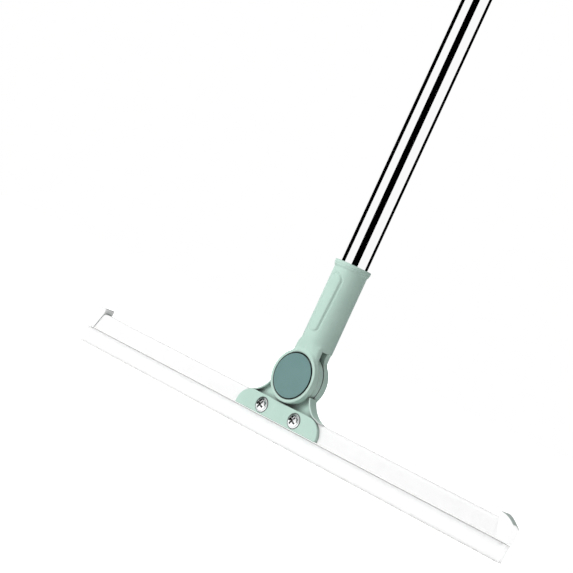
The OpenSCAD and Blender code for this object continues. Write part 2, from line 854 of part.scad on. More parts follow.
// The right end cap: its top slopes down and out along an arc, its inner edge leans out
module end_cap() {
    end_x = head_len / 2;
    inner_x = end_x - cap_w;
    low_inner_x = end_x - cap_foot_w;
    front_y = rail_front_y - cap_proud;
    back_y = rail_back_y + cap_proud;
    top = rail_top + cap_rise;
    difference() {
        translate([0, back_y, 0])
            rotate([90, 0, 0])
                linear_extrude(back_y - front_y)
                    polygon(concat([[low_inner_x, seam], [inner_x, rail_top], [inner_x, top]],
                        [for (i = [1 : arc_count])
                            [inner_x + cap_w * i / arc_count, sloping_top(cap_w * i / arc_count)]],
                        [[end_x, seam]]));
        rail_body(rail_end_x + cap_fit, cap_fit);
    }
}

// Height of the cap's top at a distance out from its inner corner
function sloping_top(out) = rail_top + cap_rise - cap_top_r + sqrt(cap_top_r * cap_top_r - out * out);

module end_cap_right() {
    color(white)
        at_pivot()
            end_cap();
}

module end_cap_left() {
    color(white)
        at_pivot()
            mirror([1, 0, 0])
                end_cap();
}

hang_cap();
grip_sleeve();
upper_tube();
joint_plug(upper_bottom_z);  // upper_joint_plug
joint_socket(middle_top_z);  // upper_joint_socket
middle_tube();
joint_plug(middle_bottom_z);  // lower_joint_plug
joint_socket(lower_top_z);  // lower_joint_socket
lower_tube();
foot_plug();
pole_screw();
swivel_collar();
disc_cap();
pivot_bolt();
friction_ring();
thrust_washer();
disc_spring();
lock_nut();
swivel_bracket();
clamp_plate();
clamp_screws();
clamp_nuts();
blade_rail();
blade();
end_cap_left();
end_cap_right();
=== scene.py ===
import json
import math

import bpy
import numpy as np
from mathutils import Matrix, Vector

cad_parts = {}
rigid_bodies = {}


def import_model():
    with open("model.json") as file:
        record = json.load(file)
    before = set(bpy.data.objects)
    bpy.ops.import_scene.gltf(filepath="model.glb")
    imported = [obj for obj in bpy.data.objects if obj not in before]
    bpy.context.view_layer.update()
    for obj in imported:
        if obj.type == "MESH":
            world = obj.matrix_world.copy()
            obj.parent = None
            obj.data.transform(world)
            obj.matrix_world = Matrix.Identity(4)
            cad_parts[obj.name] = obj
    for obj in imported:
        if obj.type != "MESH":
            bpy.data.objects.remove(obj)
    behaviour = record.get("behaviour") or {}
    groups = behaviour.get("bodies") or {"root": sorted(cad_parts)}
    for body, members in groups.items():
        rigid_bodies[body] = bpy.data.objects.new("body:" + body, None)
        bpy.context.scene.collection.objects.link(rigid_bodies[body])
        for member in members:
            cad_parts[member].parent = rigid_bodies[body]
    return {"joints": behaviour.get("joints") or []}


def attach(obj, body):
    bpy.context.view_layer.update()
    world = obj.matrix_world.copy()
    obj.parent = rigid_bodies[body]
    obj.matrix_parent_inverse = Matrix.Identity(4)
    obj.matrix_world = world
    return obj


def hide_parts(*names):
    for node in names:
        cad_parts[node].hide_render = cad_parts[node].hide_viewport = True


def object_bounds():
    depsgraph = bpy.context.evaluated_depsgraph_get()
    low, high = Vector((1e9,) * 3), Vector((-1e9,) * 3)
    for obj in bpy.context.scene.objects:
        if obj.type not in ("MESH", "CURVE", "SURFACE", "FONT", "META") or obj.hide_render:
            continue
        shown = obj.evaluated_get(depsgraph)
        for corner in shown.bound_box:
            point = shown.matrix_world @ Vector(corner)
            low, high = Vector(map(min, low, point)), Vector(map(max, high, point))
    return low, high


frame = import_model()
cad_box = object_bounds()

# Studio. The squeegee stands on its blade on a white floor in front of a white backdrop. Softboxes
# light it from the front left, the right end and behind. Black felt flags show only in
# reflections, where they draw the dark stripes that a chrome tube has in a product photograph.
mm = 0.001
scene = bpy.context.scene
scene.view_settings.view_transform = "Standard"
pivot = Vector(frame["joints"][0]["pos_m"])


def turn(degrees, axis):
    return Matrix.Rotation(math.radians(degrees), 4, axis)


camera_place = pivot + Vector((0.9778, -1.1554, 0.0538))
camera_yaw, camera_rise, camera_roll = 41.67, 0.09, 24.74
camera_data = bpy.data.cameras.new("camera")
camera_data.lens = 132.1
camera_data.sensor_width = 36.0
camera_data.clip_end = 20.0
camera = bpy.data.objects.new("camera", camera_data)
scene.collection.objects.link(camera)
camera.matrix_world = (
    Matrix.Translation(camera_place)
    @ turn(camera_yaw, "Z")
    @ turn(90 + camera_rise, "X")
    @ turn(camera_roll, "Z")
)
scene.camera = camera


def linear(hex_colour):
    """An sRGB hex colour as the linear colour with alpha that the shaders take."""
    parts = [int(hex_colour[i : i + 2], 16) / 255 for i in (1, 3, 5)]
    return tuple(p / 12.92 if p <= 0.04045 else ((p + 0.055) / 1.055) ** 2.4 for p in parts) + (1.0,)


def add(owner, kind, links=None, **settings):
    """Adds one node with its settings. links maps an input to another node's output or to a value."""
    node = owner.node_tree.nodes.new(kind)
    for name, value in settings.items():
        setattr(node, name, value)
    for name, value in (links or {}).items():
        if isinstance(value, bpy.types.NodeSocket):
            owner.node_tree.links.new(value, node.inputs[name])
        else:
            node.inputs[name].default_value = value
    return node


def looked_at(owner):
    """1 for rays from the camera, in a reflection or through glass, and 0 for rays that only light."""
    ray = add(owner, "ShaderNodeLightPath")
    seen = add(owner, "ShaderNodeMath", {0: ray.outputs["Is Camera Ray"], 1: ray.outputs["Is Glossy Ray"]},
        operation="MAXIMUM")
    seen = add(owner, "ShaderNodeMath", {0: seen.outputs[0], 1: ray.outputs["Is Transmission Ray"]},
        operation="MAXIMUM")
    return seen.outputs[0]


ambient_level = 0.4
world = bpy.data.worlds.new("white_studio")
scene.world = world
world.use_nodes = True
world.node_tree.nodes.clear()
ambient = add(world, "ShaderNodeBackground", {"Color": (1, 1, 1, 1), "Strength": ambient_level})
backdrop = add(world, "ShaderNodeBackground", {"Color": (1, 1, 1, 1), "Strength": 1.0})
both = add(world, "ShaderNodeMixShader",
    {0: looked_at(world), 1: ambient.outputs[0], 2: backdrop.outputs[0]})
add(world, "ShaderNodeOutputWorld", {"Surface": both.outputs[0]})

# Softboxes. The key leaves out the white head, which has two softboxes of its own, where only the
# head's pieces cast shadows. The one behind lights what the camera doesn't see.
softbox_size = 1.6
white_head = bpy.data.collections.new("white_head")
right_end = bpy.data.collections.new("right_end")
all_but_head = bpy.data.collections.new("all_but_head")
# Each row: place from the pivot in metres, power in watts, and what it lights
for name, place, watts, lit in (
    ("key_softbox", (-0.9, -2.44, 1.5), 64.0, all_but_head),
    ("head_softbox", (-0.9, -2.75, 1.5), 76.0, white_head),
    ("end_softbox", (2.67, 0.0, 0.1), 37.0, right_end),
    ("back_softbox", (-1.7, 2.0, 1.0), 34.0, None),
):
    lamp = bpy.data.lights.new(name, "AREA")
    lamp.size = softbox_size
    lamp.energy = watts
    softbox = bpy.data.objects.new(name, lamp)
    scene.collection.objects.link(softbox)
    softbox.location = pivot + Vector(place)
    softbox.rotation_euler = (pivot - softbox.location).to_track_quat("-Z", "Y").to_euler()
    softbox.visible_camera = False
    softbox.visible_glossy = False
    softbox.light_linking.receiver_collection = lit
    if lit in (white_head, right_end):
        softbox.light_linking.blocker_collection = white_head

# Flags of black felt, bent round the pole. The three standing ones run on over the floor towards
# its foot, and the canopy and the low card are there for the screw heads.


def principled(name):
    """A new material and its Principled shader."""
    material = bpy.data.materials.new(name)
    material.use_nodes = True
    return material, material.node_tree.nodes["Principled BSDF"]


felt, shader = principled("black_felt")
shader.inputs["Base Color"].default_value = (0, 0, 0, 1)
shader.inputs["Specular IOR Level"].default_value = 0.0
flag_steps, felt_t = 12, 0.001
camera_azimuth = math.degrees(math.atan2(camera_place.y, camera_place.x))
floor_z = cad_box[0].z
felt_z = floor_z - pivot.z + felt_t
standing = ((0.13, felt_z), (2.2, felt_z), (2.2, 2.0))
# Each row: a profile of radius and height from the pivot in metres, and where the flag starts and
# ends, in degrees round the pole from the camera's side
for name, profile, start, end in (
    ("left_flag", standing, -122.5, -81.5),
    ("middle_flag", standing, -21.6, 27.0),
    ("right_flag", standing, 101.5, 145.0),
    ("canopy", ((3.9, 2.0), (3.9, 8.3)), -230.0, 50.0),
    ("low_card", ((0.33, felt_z), (0.33, 0.04)), -230.0, -96.0),
):
    vertices, faces = [], []
    for i in range(flag_steps + 1):
        angle = math.radians(camera_azimuth + start + (end - start) * i / flag_steps)
        vertices += [(r * math.cos(angle), r * math.sin(angle), pivot.z + z) for r, z in profile]
    for i in range(flag_steps):
        for k in range(len(profile) - 1):
            corner = i * len(profile) + k
            faces.append((corner, corner + len(profile), corner + len(profile) + 1, corner + 1))
    mesh = bpy.data.meshes.new(name)
    mesh.from_pydata(vertices, [], faces)
    mesh.materials.append(felt)
    flag = bpy.data.objects.new(name, mesh)
    scene.collection.objects.link(flag)
    flag.visible_camera = False
    flag.visible_diffuse = False
    flag.visible_shadow = False
    flag.visible_transmission = False
    flag.visible_volume_scatter = False

# Floor. White paper that glows where it is looked at, so that it is as white as the backdrop and
# still takes the squeegee's shadow.
floor_half, floor_tone, floor_glow = 4.0, 0.8, 0.7
paper = bpy.data.materials.new("white_paper_floor")
paper.use_nodes = True
paper.node_tree.nodes.clear()
strength = add(paper, "ShaderNodeMath", {0: looked_at(paper), 1: floor_glow}, operation="MULTIPLY")
glow = add(paper, "ShaderNodeEmission", {"Color": (1, 1, 1, 1), "Strength": strength.outputs[0]})
matt = add(paper, "ShaderNodeBsdfDiffuse", {"Color": (floor_tone, floor_tone, floor_tone, 1)})
both = add(paper, "ShaderNodeAddShader", {0: matt.outputs[0], 1: glow.outputs[0]})
add(paper, "ShaderNodeOutputMaterial", {"Surface": both.outputs[0]})
mesh = bpy.data.meshes.new("floor")
corners = [(x * floor_half, y * floor_half, floor_z) for x, y in ((-1, -1), (1, -1), (1, 1), (-1, 1))]
mesh.from_pydata(corners, [], [(0, 1, 2, 3)])
mesh.materials.append(paper)
floor = bpy.data.objects.new("floor", mesh)
scene.collection.objects.link(floor)

# Hanging cap. A polypropylene plug with a flat eye, pressed into the top tube's end.
# It is moulded in one shot, so all its edges are round.
eye_z, eye_h = -pivot.z / mm, 22.0
cap_top_z = eye_z - eye_h
plug_r, shoulder_r, eye_half_t, eye_hole_r = 10.15, 12.0, 4.5, 4.0
shoulder_h, plug_len = 4.0, 24.0


def slab(v, low, high):
    """Distance to a slab between two planes, below 0 inside it. All the distances are in mm."""
    return np.abs(v - (low + high) / 2) - (high - low) / 2


def fuse(a, b, r):
    """Both bodies as one, with a fillet of radius r where they meet."""
    return np.maximum(r, np.minimum(a, b)) - np.hypot(np.maximum(r - a, 0), np.maximum(r - b, 0))


def trim(a, b, r):
    """What lies in both bodies, with edges of radius r."""
    return np.minimum(-r, np.maximum(a, b)) + np.hypot(np.maximum(r + a, 0), np.maximum(r + b, 0))


def part_of(array, axis, start, end):
    """The slice of a 3-D array between two indices along one axis."""
    index = [slice(None)] * 3
    index[axis] = slice(start, end)
    return array[tuple(index)]


def surface_of(field, low, high, step):
    """Vertices and quads of the surface where field(x, y, z) is 0, on a grid of cells of the given step.
    Each cell that the surface crosses gets one vertex, which is then moved onto the surface."""
    low = np.array(low, float) - 2 * step
    counts = np.ceil((np.array(high) + 2 * step - low) / step).astype(int) + 1
    axes = [low[k] + step * np.arange(counts[k]) for k in range(3)]
    value = field(*np.meshgrid(*axes, indexing="ij"))
    inside = value < 0
    hits = np.zeros(counts - 1)
    offset = np.zeros((3, *(counts - 1)))
    crossings = []
    for axis in range(3):
        first, second = part_of(value, axis, 0, -1), part_of(value, axis, 1, None)
        crossed = part_of(inside, axis, 0, -1) != part_of(inside, axis, 1, None)
        share = np.where(crossed, first / np.where(crossed, first - second, 1), 0)
        crossings.append(crossed)
        a, b = [k for k in range(3) if k != axis]
        for p in (0, 1):
            for q in (0, 1):
                here = part_of(part_of(crossed, a, p, counts[a] - 1 + p), b, q, counts[b] - 1 + q)
                hits += here
                offset[axis] += part_of(part_of(share, a, p, counts[a] - 1 + p), b, q, counts[b] - 1 + q)
                offset[a] += p * here
                offset[b] += q * here
    mixed = hits > 0
    number = np.full(mixed.shape, -1)
    number[mixed] = np.arange(mixed.sum())
    points = low + step * (np.argwhere(mixed) + (offset[:, mixed] / hits[mixed]).T)
    quads = []
    for axis in range(3):
        a, b = [k for k in range(3) if k != axis]
        crossed = part_of(part_of(crossings[axis], a, 1, -1), b, 1, -1)
        rising = part_of(part_of(part_of(inside, axis, 0, -1), a, 1, -1), b, 1, -1)[crossed]
        corners = [part_of(part_of(number, a, p, p - 1 or None), b, q, q - 1 or None)[crossed]
            for p, q in ((0, 0), (1, 0), (1, 1), (0, 1))]
        quad = np.stack(corners, 1)
        backwards = rising if axis == 1 else ~rising
        quad[backwards] = quad[backwards][:, ::-1]
        quads.append(quad)
    probe = step / 4
    for _ in range(2):
        slope = [field(*(points + aside).T) - field(*(points - aside).T) for aside in probe * np.eye(3)]
        slope = np.stack(slope, 1) / (2 * probe)
        move = (field(*points.T) / np.maximum((slope ** 2).sum(1), 0.25))[:, None] * slope
        points = points - np.clip(move, -step / 2, step / 2)
    return points, np.concatenate(quads)


def smooth(mesh):
    """Smooth shading with each vertex's normal weighted by face area, so that flat faces stay flat
    right up to the small round edges between them."""
    corners = np.empty(len(mesh.loops), int)
    mesh.loops.foreach_get("vertex_index", corners)
    sides = np.empty(len(mesh.polygons), int)
    mesh.polygons.foreach_get("loop_total", sides)
    areas = np.empty(len(mesh.polygons))
    mesh.polygons.foreach_get("area", areas)
    normals = np.empty(3 * len(mesh.polygons))
    mesh.polygons.foreach_get("normal", normals)
    total = np.zeros((len(mesh.vertices), 3))
    np.add.at(total, corners, np.repeat(normals.reshape(-1, 3) * areas[:, None], sides, axis=0))
    total /= np.maximum(np.linalg.norm(total, axis=1), 1e-20)[:, None]
    mesh.polygons.foreach_set("use_smooth", [True] * len(mesh.polygons))
    mesh.normals_split_custom_set_from_vertices(total.tolist())


def made(name, vertices, faces, material):
    """A piece with smooth shading from vertices in mm from the pivot."""
    mesh = bpy.data.meshes.new(name)
    faces = faces.tolist() if isinstance(faces, np.ndarray) else faces
    mesh.from_pydata(np.asarray(vertices) * mm + np.array(pivot), [], faces)
    mesh.materials.append(material)
    mesh.update()
    smooth(mesh)
    piece = bpy.data.objects.new(name, mesh)
    scene.collection.objects.link(piece)
    return piece


def hang_cap_field(x, y, z):
    rho = np.hypot(x, y)
    plug = trim(rho - plug_r, slab(z, cap_top_z - plug_len, cap_top_z + 1), 0.6)
    shoulder = trim(rho - shoulder_r, slab(z, cap_top_z, cap_top_z + shoulder_h), 0.8)
    round_top = np.where(z < eye_z, rho, np.sqrt(rho ** 2 + (z - eye_z) ** 2)) - shoulder_r
    eye = trim(trim(round_top, cap_top_z - z, 0.1), slab(y, -eye_half_t, eye_half_t), 1.4)
    body = fuse(fuse(plug, shoulder, 0.2), eye, 2.0)
    return trim(body, eye_hole_r - np.hypot(x, z - eye_z), 0.9)


# Polypropylene, and nylon in the joints. The fine grain of the mould or the die scatters the
# highlights, the colour clouds a little where the melt flowed, and use leaves fine scuffs.
def moulded_plastic(name, colour, cloud, scuff_and_highlight, crevice_shade, roughness, edge_highlight=0.2):
    material, shader = principled(name)
    place = add(material, "ShaderNodeTexCoord").outputs["Object"]
    # Flow clouds 18 mm across
    flow = add(material, "ShaderNodeTexNoise", {"Vector": place, "Scale": 55.0, "Detail": 2.0})
    flow = add(material, "ShaderNodeMapRange",
        {"Value": flow.outputs["Fac"], "From Min": 0.35, "From Max": 0.65})
    tint = add(material, "ShaderNodeMix", {0: flow.outputs[0], 6: linear(colour), 7: linear(cloud)},
        data_type="RGBA")
    # Scuffs: thin bright lines from a stretched noise, in patches 30 mm across
    lean = add(material, "ShaderNodeMapping",
        {"Vector": place, "Rotation": (0.3, 0.5, 0.9), "Scale": (1.0, 1.0, 0.06)})
    lines = add(material, "ShaderNodeTexNoise", {"Vector": lean.outputs[0], "Scale": 1300.0, "Detail": 1.0})
    lines = add(material, "ShaderNodeMapRange",
        {"Value": lines.outputs["Fac"], "From Min": 0.68, "From Max": 0.74})
    patch = add(material, "ShaderNodeTexNoise", {"Vector": place, "Scale": 33.0, "Detail": 3.0})
    patch = add(material, "ShaderNodeMapRange",
        {"Value": patch.outputs["Fac"], "From Min": 0.5, "From Max": 0.62})
    worn = add(material, "ShaderNodeMath", {0: lines.outputs[0], 1: patch.outputs[0]}, operation="MULTIPLY")
    worn = add(material, "ShaderNodeMath", {0: worn.outputs[0], 1: 0.35}, operation="MULTIPLY")
    tint = add(material, "ShaderNodeMix", {0: worn.outputs[0], 6: tint.outputs[2], 7: linear(scuff_and_highlight)},
        data_type="RGBA")
    # Painted highlight: convex edges are mixed towards the pale scuff colour, in a line about 1 mm wide
    edge = add(material, "ShaderNodeAmbientOcclusion", {"Distance": 1.0 * mm}, samples=8, inside=True)
    edge = add(material, "ShaderNodeMapRange",
        {"Value": edge.outputs["AO"], "From Min": 0.5, "From Max": 0.85, "To Min": edge_highlight, "To Max": 0.0})
    tint = add(material, "ShaderNodeMix", {0: edge.outputs[0], 6: tint.outputs[2], 7: linear(scuff_and_highlight)},
        data_type="RGBA")
    # Painted shade: corners and gaps narrower than 5 mm are darkened towards the given colour
    corner = add(material, "ShaderNodeAmbientOcclusion", {"Distance": 5 * mm}, samples=12)
    corner = add(material, "ShaderNodeMapRange",
        {"Value": corner.outputs["AO"], "From Min": 0.3, "From Max": 0.9, "To Min": 0.9, "To Max": 0.0})
    tint = add(material, "ShaderNodeMix", {0: corner.outputs[0], 6: tint.outputs[2], 7: linear(crevice_shade)},
        data_type="RGBA")
    material.node_tree.links.new(tint.outputs[2], shader.inputs["Base Color"])
    # The grain is 0.15 mm on the real part and drawn at 0.6 mm, so that it shows
    grain = add(material, "ShaderNodeTexNoise", {"Vector": place, "Scale": 1700.0, "Detail": 2.0})
    rough = add(material, "ShaderNodeMapRange",
        {"Value": grain.outputs["Fac"], "To Min": roughness - 0.06, "To Max": roughness + 0.08})
    material.node_tree.links.new(rough.outputs[0], shader.inputs["Roughness"])
    bump = add(material, "ShaderNodeBump",
        {"Height": grain.outputs["Fac"], "Strength": 0.06, "Distance": 0.2 * mm})
    material.node_tree.links.new(bump.outputs[0], shader.inputs["Normal"])
    # The grain hides part of the gloss
    shader.inputs["IOR"].default_value = 1.49
    shader.inputs["Specular IOR Level"].default_value = 0.3
    return material


mint = moulded_plastic("moulded_mint_polypropylene", "#bfd9ce", "#bbd6cb", "#eef4f1", "#6f7472", 0.42, 0.8)
hang_cap = made("hang_cap_moulding", *surface_of(hang_cap_field,
    (-shoulder_r, -shoulder_r, cap_top_z - plug_len), (shoulder_r, shoulder_r, eye_z + shoulder_r), 0.5),
    mint)
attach(hang_cap, "pole")
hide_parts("hang_cap")

# Grip sleeve. A ribbed polypropylene sleeve pushed over the top of the pole. Its outline, turned
# round the pole, is the bore, the two ends and a row of round-edged ribs.
grip_bore_r, grip_r, rib_r = 11.1, 13.3, 14.2
grip_len, rib_w, rib_pitch = 125.0, 5.0, 13.0


def rounded(points, radius, arc_points=5):
    """A closed outline with each corner turned into an arc, as large as its two edges allow."""
    points = [Vector(p) for p in points]
    result = []
    for before, here, after in zip(points[-1:] + points[:-1], points, points[1:] + points[:1]):
        back, on = (before - here), (after - here)
        angle = back.angle(on)
        reach = min(radius / math.tan(angle / 2), back.length * 0.45, on.length * 0.45)
        if angle > math.radians(175):
            result.append(tuple(here))
            continue
        bow = reach * math.tan(angle / 2)
        start, end = here + back.normalized() * reach, here + on.normalized() * reach
        centre = here + (back.normalized() + on.normalized()).normalized() * bow / math.sin(angle / 2)
        for i in range(arc_points):
            chord = start.lerp(end, i / (arc_points - 1)) - centre
            result.append(tuple(centre + chord.normalized() * bow))
    return result


def turned(outline, sides=96):
    """Vertices and quads of a closed outline of (radius, height) turned round the Z axis. A point
    with radius 0 becomes one vertex."""
    vertices, rows = [], []
    for r, h in outline:
        if r < 1e-6:
            rows.append([len(vertices)] * sides)
            vertices.append((0, 0, h))
            continue
        rows.append(list(range(len(vertices), len(vertices) + sides)))
        vertices += [(r * math.cos(2 * math.pi * i / sides), r * math.sin(2 * math.pi * i / sides), h)
            for i in range(sides)]
    faces = []
    for lower, upper in zip(rows, rows[1:] + rows[:1]):
        for i in range(sides):
            corners = (lower[i], lower[(i + 1) % sides], upper[(i + 1) % sides], upper[i])
            corners = tuple(dict.fromkeys(corners))
            if len(corners) > 2:
                faces.append(corners)
    return vertices, faces


rib_count = int((grip_len - rib_w) // rib_pitch) + 1
rib_start = cap_top_z - (grip_len - (rib_count - 1) * rib_pitch - rib_w) / 2 - rib_w
outline = [(grip_bore_r, cap_top_z - grip_len), (grip_r, cap_top_z - grip_len)]
for i in reversed(range(rib_count)):
    low = rib_start - i * rib_pitch
    outline += [(grip_r, low), (rib_r, low), (rib_r, low + rib_w), (grip_r, low + rib_w)]
outline += [(grip_r, cap_top_z), (grip_bore_r, cap_top_z)]
grip = made("grip_sleeve_moulding", *turned(rounded(outline, 0.6)), mint)
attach(grip, "pole")
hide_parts("grip_sleeve")

# Tubes. Three lengths of 22 mm stainless tube with a 0.8 mm wall, welded, drawn and mirror
# polished, with the burr taken off both ends.
tube_r, tube_bore_r, tube_len, flange_t = 11.0, 10.2, 375.0, 2.5

# Stainless steel, polished. It mirrors the studio; the last polishing pass leaves hair-fine
# lines round the tube and handling leaves faint smears, both only in the gloss.
polished, shader = principled("polished_stainless_steel")
shader.inputs["Base Color"].default_value = linear("#fafafa")
shader.inputs["Metallic"].default_value = 1.0
place = add(polished, "ShaderNodeTexCoord").outputs["Object"]
smear = add(polished, "ShaderNodeTexNoise", {"Vector": place, "Scale": 40.0, "Detail": 4.0})
smear = add(polished, "ShaderNodeMapRange",
    {"Value": smear.outputs["Fac"], "From Min": 0.45, "From Max": 0.75, "To Min": 0.025, "To Max": 0.07})
around = add(polished, "ShaderNodeMapping", {"Vector": place, "Scale": (0.05, 0.05, 1.0)})
lines = add(polished, "ShaderNodeTexNoise", {"Vector": around.outputs[0], "Scale": 2500.0, "Detail": 1.0})
lines = add(polished, "ShaderNodeMapRange", {"Value": lines.outputs["Fac"], "To Min": -0.01, "To Max": 0.02})
rough = add(polished, "ShaderNodeMath", {0: smear.outputs[0], 1: lines.outputs[0]}, operation="ADD")
polished.node_tree.links.new(rough.outputs[0], shader.inputs["Roughness"])

tube_tops = {"upper": cap_top_z, "middle": cap_top_z - tube_len - 2 * flange_t,
    "lower": cap_top_z - 2 * (tube_len + 2 * flange_t)}
for name, top in tube_tops.items():
    outline = [(tube_bore_r, top - tube_len), (tube_r, top - tube_len), (tube_r, top), (tube_bore_r, top)]
    tube = made(name + "_tube_polished", *turned(rounded(outline, 0.25, arc_points=3), sides=160), polished)
    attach(tube, "pole")
    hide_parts(name + "_tube")

# Tube joints. Each is a plug with a stud in the upper tube's foot and a socket in the lower
# tube's head, moulded in natural nylon. Only their two flanges show, as a pale band.
insert_r, insert_len, stud_r, stud_len, stud_gap = 10.15, 34.0, 6.0, 22.0, 0.1


def turned_solid(outline, radius):
    """Like turned, for an outline that starts and ends on the axis. Its other corners are rounded."""
    arc_points = 5
    corners = rounded(outline, radius, arc_points)[arc_points:-arc_points]
    return turned([outline[0]] + corners + [outline[-1]])


nylon = moulded_plastic("moulded_natural_nylon", "#e6e2d6", "#e2ddd0", "#f0ede4", "#7d7a72", 0.38)
for name, top in (("upper", tube_tops["middle"]), ("lower", tube_tops["lower"])):
    seam_z = top + flange_t
    plug_top = seam_z + flange_t + insert_len
    outline = [(0, seam_z - stud_len), (stud_r, seam_z - stud_len), (stud_r, seam_z), (tube_r, seam_z),
        (tube_r, seam_z + flange_t), (insert_r, seam_z + flange_t), (insert_r, plug_top), (0, plug_top)]
    plug = made(name + "_joint_plug_moulding", *turned_solid(outline, 0.3), nylon)
    bore_r, bore_end = stud_r + stud_gap, seam_z - stud_len - stud_gap
    outline = [(0, top - insert_len), (insert_r, top - insert_len), (insert_r, top), (tube_r, top),
        (tube_r, seam_z), (bore_r, seam_z), (bore_r, bore_end), (0, bore_end)]
    socket = made(name + "_joint_socket_moulding", *turned_solid(outline, 0.3), nylon)
    for piece, node in ((plug, name + "_joint_plug"), (socket, name + "_joint_socket")):
        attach(piece, "pole")
        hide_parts(node)

# Foot plug. A solid nylon plug with a flange closes the bottom tube. It sits hidden in the
# collar, and the pole screw bites into its side, in a blind hole.
foot_flange_t, foot_plug_len = 2.0, 40.0
pole_screw_z, pole_screw_r, screw_tip_y = 52.0, 1.75, 2.2
tube_foot = tube_tops["lower"] - tube_len


def foot_plug_field(x, y, z):
    rho = np.hypot(x, y)
    plug = trim(rho - insert_r, slab(z, tube_foot - 1, tube_foot + foot_plug_len), 0.8)
    flange = trim(rho - tube_r, slab(z, tube_foot - foot_flange_t, tube_foot), 0.3)
    hole = np.maximum(np.hypot(x, z - pole_screw_z) - pole_screw_r, screw_tip_y - y)
    return trim(np.minimum(plug, flange), -hole, 0.1)


foot_plug = made("foot_plug_moulding", *surface_of(foot_plug_field,
    (-tube_r, -tube_r, tube_foot - foot_flange_t), (tube_r, tube_r, tube_foot + foot_plug_len), 0.5), nylon)
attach(foot_plug, "pole")
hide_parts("foot_plug")

# Collar and fork. One polypropylene moulding: the socket for the pole with its flared lip and
# oval pad, a step under it, and the fork's two round cheeks. The front cheek has a raised
# ring round the disc, and the back cheek a boss for the washers and the nut.
collar_r, collar_top, socket_r, socket_floor, step_z = 12.7, 90.0, 11.1, 29.0, 24.2
lip_r, lip_start, lip_run, lip_groove, lip_groove_drop, lip_groove_w = 13.9, 84.6, 2.6, 0.3, 2.9, 0.35
pad_half, pad_low, pad_high, pad_proud, pad_taper = 4.9, 34.0, 79.5, 0.7, 0.035
pad_groove, pad_groove_out, pad_groove_w, pad_fade = 0.35, 0.9, 0.42, 5.0
cheek_r, front_neck, back_neck, neck_fillet, web_front = 20.0, 10.0, 11.2, 8.0, -7.8
slot_front, slot_back, slot_r, cheek_back = -5.5, 1.5, 29.0, 6.0
ring_y, ring_edge, recess_floor, bevel_r, bevel_depth, bevel_run = -11.0, 0.8, -9.4, 17.55, 0.35, 0.35
moat_in, moat_depth, grit_lip_w, grit_lip_h = 16.3, 2.6, 1.6, 1.5
boss_r, boss_bore, boss_end, washer_seat, bolt_hole_r = 9.77, 6.77, 11.0, 4.1, 3.08
screw_seat_r, screw_seat_y = 4.5, 13.1


def cheek_outline(x, z, neck_half):
    """Distance to a cheek's outline: the disc, its neck and the fillets between them."""
    fillet_x = neck_half + neck_fillet
    fillet_z = math.sqrt((cheek_r + neck_fillet) ** 2 - fillet_x ** 2)
    wedge = (np.abs(x) * fillet_z - z * fillet_x) / math.hypot(fillet_x, fillet_z)
    hollow = neck_fillet - np.hypot(np.abs(x) - fillet_x, z - fillet_z)
    web = np.maximum(np.maximum(wedge, z - fillet_z), hollow)
    neck = np.maximum(np.maximum(np.abs(x) - neck_half, -z), z - step_z - 1)
    return np.minimum(np.minimum(np.hypot(x, z) - cheek_r, neck), web)


def rise(v, start, end):
    """0 before start, 1 past end and an S-shaped ramp between them."""
    share = np.clip((v - start) / (end - start), 0, 1)
    return share * share * (3 - 2 * share)


